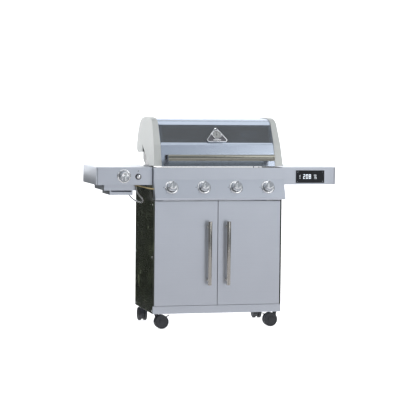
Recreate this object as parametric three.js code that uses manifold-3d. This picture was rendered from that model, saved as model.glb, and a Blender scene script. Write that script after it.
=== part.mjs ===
// A four-burner gas barbecue grill on a cabinet cart, with a hinged glass-front hood, a side burner
// on the left shelf and a touch display on the right one.
// Millimetres, +Z up, front towards -Y, origin on the floor under the middle of the bounding box.
import * as THREE from 'three';
import { mergeVertices } from 'three/addons/utils/BufferGeometryUtils.js';
import Module from 'manifold-3d';

const wasm = await Module();
wasm.setup();

// ---------------------------------------------------------------- driving dimensions
const GAP = 0.3; // clearance between pieces that touch
const SLIP = 0.4; // radial clearance of a turning or sliding fit

const OVERALL_WIDTH = 1380;
const FRONT_Y = -186.5; // plane of the doors
const REAR_Y = 277.5;
const TOP_Z = 1175; // top of the hood's end caps

const CART_HALF_WIDTH = 370;
const SIDE_WALL = 7;
const BASE_BOTTOM = 84;
const BASE_TOP = 127;
const BASE_SHEET = 4;
const DOOR_TOP = 711;
const DOOR_THICKNESS = 18;
const DOOR_GAP = 3;
const DOOR_HANDLE_X = 54;
const DOOR_HANDLE_RADIUS = 11;
const DOOR_HANDLE_LOW = 243;
const DOOR_HANDLE_HIGH = 600;
const DOOR_HANDLE_STAND = 38; // handle centre in front of the door

const COUNTER_Z = 899; // shelf tops and firebox rim
const PANEL_Y = -208; // upright part of the control panel
const PANEL_BREAK_Z = 831; // where the upright part turns into the slope
const PANEL_LIP_Y = -249;
const PANEL_LIP_Z = 733;
const PANEL_SHEET = 3;
const KNOB_SPACING = 184;
const KNOB_Z = 790;
const KNOB_RADIUS = 26;
const KNOB_DEPTH = 39.6;
const KNOB_STAND = 8; // knob skirt above the panel
const STEM_RADIUS = 4;

const FIREBOX_HALF_WIDTH = 355;
const FIREBOX_FRONT = -189;
const FIREBOX_REAR = 215;
const FIREBOX_BOTTOM = 742;
const FIREBOX_REAR_RIM = 870;
const FIREBOX_WALL = 4;

const HOOD_BOTTOM = 905;
const HOOD_SHEET = 3;
const HOOD_SKIN_HALF_WIDTH = 326;
const HOOD_CAP_HALF_WIDTH = 371; // at the bottom edge
const HOOD_CAP_LEAN = 13; // how much narrower the caps are at the top
const HOOD_CAP_WALL = 5;
const HOOD_CAP_PROUD = 5;
const GLASS_THICKNESS = 4;
const PIVOT_Y = 174;
const PIVOT_Z = 985;
const HOOD_SWING_ROOM = 8; // how far the side panels step down behind the pivot, for the open hood's corners
const PIVOT_RADIUS = 5;
const HOOD_HANDLE_HALF = 304;

const SHELF_INNER_X = 376;
const SHELF_FRONT = -180;
const SHELF_REAR = 228;
const SHELF_HEIGHT = 97.5;
const SHELF_SHEET = 4;
const SHELF_CORNER = 12;

const BURNER_X = -545; // centre of the side burner
const BURNER_Y = 20;
const BOWL_WIDTH = 180;
const BOWL_DEPTH = 280;
const BOWL_BOTTOM = 768;
const LID_THICKNESS = 5;

const WHEEL_RADIUS = 39;
const WHEEL_WIDTH = 17;
const CASTER_TRAIL = 28;
const CASTER_FIN = 12;
const FRONT_CASTER_Y = -160;
const REAR_CASTER_Y = 238;
const CASTER_X = 343;

// ---------------------------------------------------------------- finishes
const finish = (color, roughness, metalness) =>
  new THREE.MeshStandardMaterial({ color, roughness, metalness });
const BRUSHED = finish(0xb9bec2, 0.32, 1);
const POLISHED = finish(0xd8dadc, 0.12, 1);
const DARK_ENAMEL = finish(0x20241e, 0.2, 0.3);
const PALE_PAINT = finish(0xd6d8d6, 0.35, 0.2);
const CAST_IRON = finish(0x2a2a2b, 0.65, 0.6);
const BLACK_PLASTIC = finish(0x17181b, 0.5, 0);
const BLACK_GLASS = finish(0x08090b, 0.06, 0);
const TINTED_GLASS = finish(0x59605f, 0.05, 0);
const BRASS = finish(0xb59a55, 0.35, 1);

// ---------------------------------------------------------------- solids
function solid(geometry) {
  const bare = geometry.index ? geometry.toNonIndexed() : geometry.clone();
  bare.deleteAttribute('normal');
  bare.deleteAttribute('uv');
  const welded = mergeVertices(bare, 1e-3);
  const corners = welded.index.array;
  const kept = [];
  for (let i = 0; i < corners.length; i += 3) {
    const [a, b, c] = [corners[i], corners[i + 1], corners[i + 2]];
    if (a !== b && b !== c && c !== a) kept.push(a, b, c);
  }
  return new wasm.Manifold(new wasm.Mesh({
    numProp: 3,
    vertProperties: new Float32Array(welded.attributes.position.array),
    triVerts: new Uint32Array(kept),
  }));
}

const join = (solids) => solids.reduce((all, next) => all.add(next));
const cut = (body, cutters) => cutters.reduce((rest, next) => rest.subtract(next), body);

function box(x0, x1, y0, y1, z0, z1) {
  const block = new THREE.BoxGeometry(x1 - x0, y1 - y0, z1 - z0);
  return solid(block.translate((x0 + x1) / 2, (y0 + y1) / 2, (z0 + z1) / 2));
}

// A prism runs along one axis; its outline is given in the other two.
function extrude(outline, from, to, axes) {
  const shape = new THREE.Shape(outline.map(([a, b]) => new THREE.Vector2(a, b)));
  const bar = new THREE.ExtrudeGeometry(shape, { depth: to - from, bevelEnabled: false });
  bar.translate(0, 0, from);
  return solid(bar.applyMatrix4(axes));
}
const ALONG_X = new THREE.Matrix4().set(0, 0, 1, 0, 1, 0, 0, 0, 0, 1, 0, 0, 0, 0, 0, 1);
const ALONG_Y = new THREE.Matrix4().set(1, 0, 0, 0, 0, 0, -1, 0, 0, 1, 0, 0, 0, 0, 0, 1);
const ALONG_Z = new THREE.Matrix4();
const prismX = (outlineYZ, x0, x1) => extrude(outlineYZ, x0, x1, ALONG_X);
const prismY = (outlineXZ, y0, y1) => extrude(outlineXZ, -y1, -y0, ALONG_Y);
const prismZ = (outlineXY, z0, z1) => extrude(outlineXY, z0, z1, ALONG_Z);

// A round bar along one axis, from one end to the other, at the place given by the other two.
function rod(axis, radius, from, to, a, b, sides = 12) {
  const bar = new THREE.CylinderGeometry(radius, radius, to - from, sides);
  const middle = (from + to) / 2;
  if (axis === 'x') bar.rotateZ(Math.PI / 2).translate(middle, a, b);
  if (axis === 'y') bar.translate(a, middle, b);
  if (axis === 'z') bar.rotateX(Math.PI / 2).translate(a, b, middle);
  return solid(bar);
}

// A turned piece about the local Z axis; the profile is a list of [radius, height].
function turned(profile, sides = 16) {
  const points = profile.map(([radius, height]) => new THREE.Vector2(radius, height));
  return solid(new THREE.LatheGeometry(points, sides).rotateX(Math.PI / 2));
}

// A pipe or hose along a smooth curve through the points.
function pipe(points, radius, sides, steps) {
  const ring = new THREE.Shape();
  for (let i = 0; i < sides; i += 1) {
    const angle = (2 * Math.PI * i) / sides;
    const corner = [radius * Math.cos(angle), radius * Math.sin(angle)];
    if (i === 0) ring.moveTo(...corner);
    else ring.lineTo(...corner);
  }
  const path = new THREE.CatmullRomCurve3(points.map((p) => new THREE.Vector3(...p)), false, 'centripetal');
  return solid(new THREE.ExtrudeGeometry(ring, { steps, extrudePath: path }));
}

// The points of a polyline moved sideways, to its left for a positive distance.
function beside(points, distance) {
  return points.map((point, i) => {
    const before = points[Math.max(i - 1, 0)];
    const after = points[Math.min(i + 1, points.length - 1)];
    const sides = [[before, point], [point, after]]
      .map(([p, q]) => [q[0] - p[0], q[1] - p[1]])
      .filter(([dx, dy]) => Math.hypot(dx, dy) > 0)
      .map(([dx, dy]) => [-dy / Math.hypot(dx, dy), dx / Math.hypot(dx, dy)]);
    const [first, last] = [sides[0], sides[sides.length - 1]];
    const reach = distance / (1 + first[0] * last[0] + first[1] * last[1]);
    return [point[0] + (first[0] + last[0]) * reach, point[1] + (first[1] + last[1]) * reach];
  });
}
const folded = (points, thickness) => [...points, ...beside(points, thickness).reverse()];

// Points of an arc from one angle to another, in degrees.
function arc(cx, cy, radius, from, to, steps = 5) {
  return Array.from({ length: steps + 1 }, (_, i) => {
    const angle = THREE.MathUtils.degToRad(from + ((to - from) * i) / steps);
    return [cx + radius * Math.cos(angle), cy + radius * Math.sin(angle)];
  });
}

// ---------------------------------------------------------------- the assembly
const grill = new THREE.Group();
const MIRROR_X = new THREE.Matrix4().makeScale(-1, 1, 1);

function geometryOf(body) {
  const { vertProperties, triVerts } = body.getMesh();
  const geometry = new THREE.BufferGeometry();
  geometry.setAttribute('position', new THREE.BufferAttribute(new Float32Array(vertProperties), 3));
  geometry.setIndex(new THREE.BufferAttribute(new Uint32Array(triVerts), 1));
  return geometry;
}

function place(name, body, material, group = grill) {
  const mesh = new THREE.Mesh(geometryOf(body), material);
  mesh.name = name;
  group.add(mesh);
}

// The mirror image of a solid across the middle of the grill.
function mirrored(body) {
  const geometry = geometryOf(body).applyMatrix4(MIRROR_X);
  const corners = geometry.index.array;
  for (let i = 0; i < corners.length; i += 3) {
    [corners[i + 1], corners[i + 2]] = [corners[i + 2], corners[i + 1]];
  }
  return solid(geometry);
}

// ---------------------------------------------------------------- cart
const SIDE_INNER = CART_HALF_WIDTH - SIDE_WALL;
const CASTER_PLACES = {
  front_left: [-CASTER_X, FRONT_CASTER_Y, 0],
  front_right: [CASTER_X, FRONT_CASTER_Y, 180],
  rear_left: [-CASTER_X, REAR_CASTER_Y, -90],
  rear_right: [CASTER_X, REAR_CASTER_Y, -90],
};
const STUD_RADIUS = 5.5;
const STUD_TOP = BASE_TOP - BASE_SHEET - 8;

function makeBase() {
  const left = -SIDE_INNER + GAP;
  const right = SIDE_INNER - GAP;
  const under = BASE_TOP - BASE_SHEET;
  const pan = cut(box(left, right, FRONT_Y + 5, REAR_Y - 5, BASE_BOTTOM, BASE_TOP), [
    box(left + BASE_SHEET, right - BASE_SHEET, FRONT_Y + 9, REAR_Y - 9, BASE_BOTTOM - 1, under),
  ]);
  const plinth = box(-CART_HALF_WIDTH, CART_HALF_WIDTH, FRONT_Y, FRONT_Y + 5.5, BASE_BOTTOM, BASE_TOP);
  const sockets = Object.values(CASTER_PLACES).map(([x, y]) => {
    const inner = Math.sign(x) * (Math.abs(x) + 18);
    const [low, high] = [Math.min(x - 18, inner), Math.max(x + 18, inner)];
    return box(Math.max(low, left), Math.min(high, right), y - 18, y + 18, BASE_BOTTOM, under + 1);
  });
  const bores = Object.values(CASTER_PLACES).map(([x, y]) =>
    rod('z', STUD_RADIUS + SLIP, BASE_BOTTOM - 1, STUD_TOP + 2, x, y));
  place('base_tray', cut(join([pan, plinth, ...sockets]), bores), BRUSHED);
}

function makeSidePanels() {
  const top = COUNTER_Z - 9;
  const step = PIVOT_Y - 2 * HOOD_SWING_ROOM;
  const outline = [[FRONT_Y + 6, BASE_BOTTOM], [REAR_Y, BASE_BOTTOM], [REAR_Y, top - HOOD_SWING_ROOM],
    [step, top - HOOD_SWING_ROOM], [step, top], [FRONT_Y + 1, top], [FRONT_Y + 1, DOOR_TOP + 8], [FRONT_Y, DOOR_TOP + 2],
    [FRONT_Y, BASE_TOP + GAP], [FRONT_Y + 6, BASE_TOP + GAP]];
  const right = prismX(outline, SIDE_INNER, CART_HALF_WIDTH);
  place('side_panel_right', right, DARK_ENAMEL);
  place('side_panel_left', mirrored(right), DARK_ENAMEL);
  const half = SIDE_INNER - GAP;
  place('back_panel', box(-half, half, REAR_Y - 4, REAR_Y, BASE_TOP + GAP, TRAY_BOTTOM - 8), DARK_ENAMEL);
}

function makeDoors() {
  const hinge = SIDE_INNER - 1.5;
  const [low, high] = [BASE_TOP + 2, DOOR_TOP];
  const skin = box(DOOR_GAP / 2, hinge, FRONT_Y, FRONT_Y + DOOR_THICKNESS, low, high);
  const hollow = box(DOOR_GAP / 2 + 2, hinge - 2, FRONT_Y + 2, FRONT_Y + DOOR_THICKNESS + 1, low + 2, high - 2);
  const door = skin.subtract(hollow);
  place('door_right', door, BRUSHED);
  place('door_left', mirrored(door), BRUSHED);

  const barY = FRONT_Y - DOOR_HANDLE_STAND;
  const posts = [DOOR_HANDLE_LOW + 30, DOOR_HANDLE_HIGH - 30].map((z) =>
    rod('y', 6, barY, FRONT_Y - GAP, DOOR_HANDLE_X, z, 12));
  const bar = rod('z', DOOR_HANDLE_RADIUS, DOOR_HANDLE_LOW, DOOR_HANDLE_HIGH, DOOR_HANDLE_X, barY, 20);
  const handle = join([bar, ...posts]);
  place('door_handle_right', handle, POLISHED);
  place('door_handle_left', mirrored(handle), POLISHED);
}

// Twin-wheel casters: a stud turns in the base, and the wheel trails behind it.
function makeCasters() {
  const finRadius = WHEEL_RADIUS - 7;
  const axle = 5;
  const pedalPivot = 32;
  Object.entries(CASTER_PLACES).forEach(([place_, [x, y, turn]]) => {
    const group = new THREE.Group();
    group.position.set(x, y, 0);
    group.rotation.z = THREE.MathUtils.degToRad(turn);
    grill.add(group);
    const disc = rod('y', finRadius, -CASTER_FIN / 2, CASTER_FIN / 2, CASTER_TRAIL, WHEEL_RADIUS, 20);
    const boss = rod('z', 12, 76, BASE_BOTTOM - 1, 0, 0); // clear of the wheels' rims
    const web = prismY([[-8, 44], [CASTER_TRAIL, 44], [CASTER_TRAIL, 66], [8, 77], [-8, 77]], -CASTER_FIN / 2,
      CASTER_FIN / 2);
    const stud = rod('z', STUD_RADIUS, BASE_BOTTOM - 3, STUD_TOP, 0, 0);
    const bore = rod('y', axle + SLIP, -20, 20, CASTER_TRAIL, WHEEL_RADIUS);
    const angle = THREE.MathUtils.degToRad(42);
    const notch = rod('y', 8, -20, 20, CASTER_TRAIL + pedalPivot * Math.cos(angle),
      WHEEL_RADIUS + pedalPivot * Math.sin(angle), 12);
    const braked = place_.startsWith('front');
    const housing = join([disc, boss, web, stud]);
    place(`caster_housing_${place_}`, cut(housing, braked ? [bore, notch] : [bore]), BLACK_PLASTIC, group);

    const wheels = [-1, 1].map((side) => {
      const from = side * (CASTER_FIN / 2 + 1);
      const to = side * (CASTER_FIN / 2 + 1 + WHEEL_WIDTH);
      const [near, far] = [Math.min(from, to), Math.max(from, to)];
      return rod('y', WHEEL_RADIUS, near, far, CASTER_TRAIL, WHEEL_RADIUS, 24);
    });
    const shaft = rod('y', axle, -CASTER_FIN, CASTER_FIN, CASTER_TRAIL, WHEEL_RADIUS);
    place(`caster_wheels_${place_}`, join([...wheels, shaft]), BLACK_PLASTIC, group);

    if (braked) {
      const lever = new THREE.BoxGeometry(27, 9, 5).translate(12, 0, 0)
        .rotateY(-angle + 0.12)
        .translate(CASTER_TRAIL + pedalPivot * Math.cos(angle), 0, WHEEL_RADIUS + pedalPivot * Math.sin(angle));
      place(`brake_pedal_${place_}`, solid(lever), BLACK_PLASTIC, group);
    }
  });
}

// ---------------------------------------------------------------- firebox and burners
const TRAY_BOTTOM = 690;
const TRAY_TOP = 712;
const BURNERS = [-1.5, -0.5, 0.5, 1.5].map((step) => step * KNOB_SPACING);
const GRATE_Z = 872;
const GRATE_REAR = 146;

function makeFirebox() {
  const half = FIREBOX_HALF_WIDTH;
  const inside = half - FIREBOX_WALL;
  const outline = [[FIREBOX_FRONT, FIREBOX_BOTTOM], [FIREBOX_REAR, FIREBOX_BOTTOM],
    [FIREBOX_REAR, FIREBOX_REAR_RIM], [170, FIREBOX_REAR_RIM], [150, COUNTER_Z], [FIREBOX_FRONT, COUNTER_Z]];
  const tub = prismX(outline, -half, half);
  const front = FIREBOX_FRONT + FIREBOX_WALL;
  const hollow = box(-inside, inside, front, FIREBOX_REAR - FIREBOX_WALL, FIREBOX_BOTTOM + FIREBOX_WALL,
    COUNTER_Z + 1);
  const drain = box(-140, 140, -80, 80, FIREBOX_BOTTOM - 1, FIREBOX_BOTTOM + FIREBOX_WALL + 1);
  const ports = BURNERS.map((x) => rod('y', 12, FIREBOX_FRONT - 1, front + 1, x, BURNER_TUBE_Z));
  const ledges = [
    box(-inside - 1, inside + 1, front - 1, front + 12, GRATE_Z - 4, GRATE_Z - GAP),
    box(-inside - 1, inside + 1, GRATE_REAR - 8, FIREBOX_REAR - 1, GRATE_Z - 6, GRATE_Z - 2 - GAP),
  ];
  place('firebox', join([cut(tub, [hollow, drain, ...ports]), ...ledges]), DARK_ENAMEL);
}

const BURNER_TUBE_Z = 800;
function makeBurners() {
  BURNERS.forEach((x, i) => {
    const tube = rod('y', 11.5, FIREBOX_FRONT - 6, 140, x, BURNER_TUBE_Z, 12);
    const crown = prismY([[x - 16, 800], [x + 16, 800], [x + 16, 812], [x + 6, 816], [x - 6, 816], [x - 16, 812]],
      -160, 145);
    const foot = box(x - 8, x + 8, 130, 142, FIREBOX_BOTTOM + FIREBOX_WALL + GAP, 806);
    place(`burner_${i + 1}`, join([tube, crown, foot]), BRUSHED);
  });
  // One folded tamer sheet shields each pair of burners.
  const peaks = (x) => [[x - 40, 826], [x, 846], [x + 40, 826]];
  const zigzag = [[-346, 836], ...peaks(BURNERS[0]), [(BURNERS[0] + BURNERS[1]) / 2, 838],
    ...peaks(BURNERS[1]), [-8, 836]];
  const left = prismY(folded(zigzag, 2.5), FIREBOX_FRONT + 12, GRATE_REAR);
  place('flame_tamer_left', left, BRUSHED);
  place('flame_tamer_right', mirrored(left), BRUSHED);
}

function makeGrates() {
  const [x0, x1] = [3, 318];
  const [y0, y1] = [FIREBOX_FRONT + 7, GRATE_REAR];
  const pitch = 21;
  const slots = [];
  for (let x = x0 + 12; x + 12 < x1; x += pitch) {
    [[y0 + 10, -26], [-14, y1 - 10]].forEach(([from, to]) => {
      slots.push(box(x, x + pitch - 8, from, to, GRATE_Z - 1, GRATE_Z + 13));
    });
  }
  const right = cut(box(x0, x1, y0, y1, GRATE_Z, GRATE_Z + 12), slots);
  place('cooking_grate_right', right, CAST_IRON);
  place('cooking_grate_left', mirrored(right), CAST_IRON);

  const wire = 5;
  const rackZ = 1040;
  const [front, rear] = [40, 152];
  const rails = [front, rear].map((y) => box(-312, 312, y, y + wire, rackZ, rackZ + wire));
  const rungs = Array.from({ length: 21 }, (_, i) => {
    const x = -310 + i * 31;
    return box(x - wire / 2, x + wire / 2, front, rear + wire, rackZ + 1, rackZ + 1 + wire);
  });
  const legs = [-300, 300].map((x) => box(x - 3, x + 3, rear - 1, rear + wire, GRATE_Z - 2, rackZ + wire));
  place('warming_rack', join([...rails, ...rungs, ...legs]), POLISHED);
}

function makeGreaseTray() {
  const tray = cut(box(-300, 300, -150, 265, TRAY_BOTTOM, TRAY_TOP), [
    box(-297, 297, -147, 262, TRAY_BOTTOM + 3, TRAY_TOP + 1)]);
  const grip = box(-60, 60, 264, 277, TRAY_TOP - 6, TRAY_TOP - 2);
  place('grease_tray', tray.add(grip), BRUSHED);
}

// ---------------------------------------------------------------- control panel
const SLOPE = Math.atan2(PANEL_Y - PANEL_LIP_Y, PANEL_BREAK_Z - PANEL_LIP_Z);
const KNOB_Y = PANEL_Y - (PANEL_BREAK_Z - KNOB_Z) * Math.tan(SLOPE);

// A frame whose Z axis points straight out of the sloped panel at a knob's place.
function panelFrame(x) {
  const group = new THREE.Group();
  group.position.set(x, KNOB_Y, KNOB_Z);
  group.rotation.x = Math.PI / 2 - SLOPE;
  grill.add(group);
  return group;
}
function inPanelFrame(body, x) {
  const turn = new THREE.Matrix4().makeTranslation(x, KNOB_Y, KNOB_Z)
    .multiply(new THREE.Matrix4().makeRotationX(Math.PI / 2 - SLOPE));
  return solid(geometryOf(body).applyMatrix4(turn));
}

function makeControlPanel() {
  const lipRadius = 8;
  const section = [[PANEL_Y + 16, COUNTER_Z - 1.5], [PANEL_Y, COUNTER_Z - 1.5], [PANEL_Y, PANEL_BREAK_Z],
    [PANEL_LIP_Y, PANEL_LIP_Z],
    ...arc(PANEL_LIP_Y + lipRadius, PANEL_LIP_Z - 5, lipRadius, 190, 270, 3), [FRONT_Y - 14, PANEL_LIP_Z - 13]];
  const half = CART_HALF_WIDTH + 3.3;
  const sheet = prismX(folded(section, PANEL_SHEET).reverse(), -half, half);
  const end = [...section, [FRONT_Y - GAP, PANEL_LIP_Z - 13], [FRONT_Y - GAP, COUNTER_Z - 1.5]].reverse();
  const ends = [prismX(end, -half, -half + PANEL_SHEET), prismX(end, half - PANEL_SHEET, half)];
  const holes = BURNERS.map((x) => inPanelFrame(rod('z', 7, -8, 5, 0, 0), x));
  const inlet = rod('x', 8, -half - 1, -half + 10, PIPE_Y, PIPE_Z);
  place('control_panel', cut(join([sheet, ...ends]), [...holes, inlet]), BRUSHED);
}

const PIPE_DEPTH = 22; // manifold pipe behind the panel
const PIPE_Y = KNOB_Y + PIPE_DEPTH * Math.cos(SLOPE);
const PIPE_Z = KNOB_Z - PIPE_DEPTH * Math.sin(SLOPE);

function makeManifold() {
  const main = rod('x', 6, CART_HALF_WIDTH * -0.9, 330, PIPE_Y, PIPE_Z, 12);
  const [hoseX, hoseY] = HOSE[0];
  const feed = pipe([[-325, PIPE_Y, PIPE_Z], [-380, PIPE_Y, PIPE_Z], [-405, PIPE_Y + 14, PIPE_Z + 4],
    [-430, hoseY - 30, FITTING_Z + 2], [hoseX + 4, hoseY - 14, FITTING_Z + 8], [hoseX, hoseY, FITTING_Z + 8]],
  4, 8, 12);
  const elbow = rod('z', 7, FITTING_Z, FITTING_Z + 16, hoseX, hoseY, 6);
  const valves = BURNERS.map((x) => inPanelFrame(rod('z', 10, -32, -8, 0, 0, 12), x));
  const bores = BURNERS.map((x) => inPanelFrame(rod('z', STEM_RADIUS + SLIP, -26, -7, 0, 0), x));
  const jets = BURNERS.map((x) => rod('y', 3, PIPE_Y, FIREBOX_FRONT - 7, x, 786, 8));
  place('gas_manifold', cut(join([main, feed, elbow, ...valves, ...jets]), bores), BRASS);
}

// ---------------------------------------------------------------- knobs
function knobBody() {
  const [low, high] = [KNOB_STAND, KNOB_STAND + KNOB_DEPTH - 9];
  const skirt = turned([[0, low], [KNOB_RADIUS, low], [KNOB_RADIUS, low + 5], [KNOB_RADIUS - 3, low + 9],
    [KNOB_RADIUS - 4, high], [0, high]]);
  const grip = prismY([[-6, high - 1], [6, high - 1], [4, high + 9], [-4, high + 9]], -KNOB_RADIUS + 4,
    KNOB_RADIUS - 4);
  const socket = rod('z', STEM_RADIUS + SLIP, low - 1, low + 16, 0, 0);
  return skirt.add(grip).subtract(socket);
}
const stemBody = () => rod('z', STEM_RADIUS, -20, KNOB_STAND + 14, 0, 0);

function makeKnobs() {
  BURNERS.forEach((x, i) => {
    const group = panelFrame(x);
    place(`valve_stem_${i + 1}`, stemBody(), BRASS, group);
    place(`burner_knob_${i + 1}`, knobBody(), POLISHED, group);
  });
  const side = new THREE.Group();
  side.position.set(SIDE_KNOB_X, SHELF_FRONT, SIDE_KNOB_Z);
  side.rotation.x = Math.PI / 2;
  grill.add(side);
  place('side_valve_stem', stemBody(), BRASS, side);
  place('side_burner_knob', knobBody(), POLISHED, side);
  const button = turned([[0, -14], [8, -14], [8, 3], [16, 3], [16, 9], [14, 12], [0, 13]], 20);
  const igniter = new THREE.Group();
  igniter.position.set(IGNITER_X, SHELF_FRONT, SIDE_KNOB_Z - 3);
  igniter.rotation.x = Math.PI / 2;
  grill.add(igniter);
  place('igniter_button', button, BLACK_PLASTIC, igniter);
}
const SIDE_KNOB_X = -535;
const SIDE_KNOB_Z = 850;
const IGNITER_X = -455;

// ---------------------------------------------------------------- hood
// The skin's section from the front bottom edge over the top to the rear bottom edge.
const hoodRoll = new THREE.CatmullRomCurve3([[-88, 1140], [-52, 1161], [0, 1168], [110, 1168.6],
  [185, 1158], [235, 1124], [262, 1070], [272.4, 990]].map(([y, z]) => new THREE.Vector3(y, z, 0)));
const HOOD_FRONT = [[-193, HOOD_BOTTOM], [-156, 1022], [-88, 1140]];
const HOOD_ROLL = hoodRoll.getPoints(14).slice(1).map((p) => [p.x, p.y]);
const HOOD_LINE = [...HOOD_FRONT, ...HOOD_ROLL];
const HOOD_UNDERSIDE = [[245, 970], [112, 975], [134, 1015], [-76, HOOD_BOTTOM]];
const GLASS_HALF = 322;
const WINDOW_MARGIN = 14;

// A point on the hood's front slope, from the glass's bottom edge (0) to its top edge (1).
function onGlass(share, outward) {
  const [[y0, z0], [y1, z1]] = [HOOD_FRONT[1], HOOD_FRONT[2]];
  const length = Math.hypot(y1 - y0, z1 - z0);
  const [uy, uz] = [(y1 - y0) / length, (z1 - z0) / length];
  return [y0 + share * (y1 - y0) - outward * uz, z0 + share * (z1 - z0) + outward * uy];
}

function makeHood() {
  const recess = GLASS_THICKNESS + GAP;
  const outer = [HOOD_FRONT[0], HOOD_FRONT[1], onGlass(0.04, 0), onGlass(0.04, -recess),
    onGlass(0.97, -recess), onGlass(0.97, 0), ...HOOD_ROLL];
  const inner = beside(HOOD_LINE, -(HOOD_SHEET + recess));
  const skin = prismX([...outer, ...inner.reverse()].reverse(), -HOOD_SKIN_HALF_WIDTH, HOOD_SKIN_HALF_WIDTH);
  const endOutline = [...beside(HOOD_LINE, -4), ...HOOD_UNDERSIDE].reverse();
  const half = HOOD_SKIN_HALF_WIDTH;
  const ends = [prismX(endOutline, -half, -half + 3), prismX(endOutline, half - 3, half)];
  const window_ = [onGlass(0.13, 8), onGlass(0.88, 8), onGlass(0.88, -20), onGlass(0.13, -20)].reverse();
  const opening = prismX(window_, -GLASS_HALF + WINDOW_MARGIN, GLASS_HALF - WINDOW_MARGIN);
  const pinHoles = [-half, half].map((x) => rod('x', PIVOT_RADIUS + 12, x - 5, x + 5, PIVOT_Y, PIVOT_Z));
  place('hood_shell', cut(join([skin, ...ends]), [opening, ...pinHoles]), BRUSHED);

  const pane = [onGlass(0.045, 0), onGlass(0.965, 0), onGlass(0.965, -GLASS_THICKNESS),
    onGlass(0.045, -GLASS_THICKNESS)].reverse();
  const probe = inGlassFrame(rod('z', 7, -20, 20, 0, 0));
  place('hood_glass', prismX(pane, -GLASS_HALF, GLASS_HALF).subtract(probe), TINTED_GLASS);
}

// Cast end caps, leaning in towards the top, hollow and open at the bottom and towards the skin.
function makeHoodCaps() {
  const outline = [...beside(HOOD_LINE, HOOD_CAP_PROUD), ...HOOD_UNDERSIDE].reverse();
  const hollowLine = beside(HOOD_LINE, HOOD_CAP_PROUD - HOOD_CAP_WALL);
  const hollow = [...hollowLine, [272, 880], [-250, 880]].reverse();
  const inner = HOOD_SKIN_HALF_WIDTH + GAP;
  const outer = HOOD_CAP_HALF_WIDTH;
  const lean = (body) => {
    const geometry = geometryOf(body);
    const corners = geometry.attributes.position;
    for (let i = 0; i < corners.count; i += 1) {
      const share = (corners.getX(i) - inner) / (outer - inner);
      const rise = (corners.getZ(i) - HOOD_BOTTOM) / (TOP_Z - HOOD_BOTTOM);
      if (share > 0.5) corners.setX(i, corners.getX(i) - HOOD_CAP_LEAN * rise);
    }
    return solid(geometry);
  };
  const shell = cut(lean(prismX(outline, inner, outer)), [
    lean(prismX(hollow, inner - 1, outer - HOOD_CAP_WALL))]);
  const boss = rod('x', 11, HINGE_PLATE + 5, HINGE_PLATE + 24, PIVOT_Y, PIVOT_Z);
  const bore = rod('x', PIVOT_RADIUS + SLIP, HINGE_PLATE, HINGE_PLATE + 16, PIVOT_Y, PIVOT_Z);
  const cap = join([shell, boss]).subtract(bore);
  place('hood_cap_right', cap, PALE_PAINT);
  place('hood_cap_left', mirrored(cap), PALE_PAINT);
}

const HINGE_PLATE = 340;
function makeHoodBrackets() {
  const outline = [[-62, COUNTER_Z + GAP], [146, COUNTER_Z + GAP], [200, 930], [206, 960], [196, 1004],
    [174, 1012], [150, 1004], [120, 988]].reverse();
  const plate = prismX(outline, HINGE_PLATE, HINGE_PLATE + 4);
  const foot = box(HINGE_PLATE, FIREBOX_HALF_WIDTH, -60, 140, COUNTER_Z + GAP, COUNTER_Z + 3.3);
  const pin = rod('x', PIVOT_RADIUS, HINGE_PLATE - 8, HINGE_PLATE + 14, PIVOT_Y, PIVOT_Z);
  const bracket = join([plate, foot, pin]);
  place('hood_bracket_right', bracket, DARK_ENAMEL);
  place('hood_bracket_left', mirrored(bracket), DARK_ENAMEL);
}

function makeHoodHandle() {
  const centreY = -251;
  const [low, high] = [936, 972];
  const section = [...arc(centreY, high - 12, 12, 180, 0, 6), ...arc(centreY, low + 12, 12, 0, -180, 6)];
  const bar = prismX([...section].reverse(), -HOOD_HANDLE_HALF, HOOD_HANDLE_HALF);
  const skinY = (z) => HOOD_FRONT[0][0] + ((z - HOOD_BOTTOM) / (1022 - HOOD_BOTTOM)) * 37;
  const arm = [[centreY, 944], [skinY(944) - GAP, 944], [skinY(964) - GAP, 964], [centreY, 964]];
  const arms = [-1, 1].map((side) => prismX(arm, side * 290 - 6, side * 290 + 6));
  place('hood_handle', join([bar, ...arms]), POLISHED);
}

// A frame lying on the glass, Z pointing out of it, at the badge.
const BADGE_SHARE = 0.42;
function glassMatrix() {
  const [y, z] = onGlass(BADGE_SHARE, 0);
  const tilt = Math.atan2(HOOD_FRONT[2][1] - HOOD_FRONT[1][1], HOOD_FRONT[2][0] - HOOD_FRONT[1][0]);
  return new THREE.Matrix4().makeTranslation(0, y, z).multiply(new THREE.Matrix4().makeRotationX(tilt));
}
const inGlassFrame = (body) => solid(geometryOf(body).applyMatrix4(glassMatrix()));

function makeBadge() {
  const corners = [[-46, -30], [46, -30], [0, 33]];
  const rounded = corners.flatMap(([x, y], i) => arc(x, y, 12, -210 + i * 120, -90 + i * 120, 4));
  const plate = prismZ(rounded, 3, 12);
  const dialRim = turned([[20, 11], [27, 11], [27, 17], [24, 18], [24, 13], [20, 13], [20, 11]], 24);
  const dial = turned([[0, 5], [26, 5], [26, 13], [0, 13]], 24);
  const probe = rod('z', 5, -22, 4, 0, 0, 12);
  const well = rod('z', 2.4, 8, 20, 0, 0, 8);
  place('thermometer_badge', inGlassFrame(join([plate, dialRim, dial, probe]).subtract(well)), POLISHED);
  const needle = prismZ([[-2.5, -6], [2.5, -6], [0.8, 17], [-0.8, 17]], 14, 15);
  const hub = rod('z', 2, 9, 15, 0, 0, 8);
  place('thermometer_needle', inGlassFrame(join([needle, hub])), BLACK_PLASTIC);
}

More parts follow.
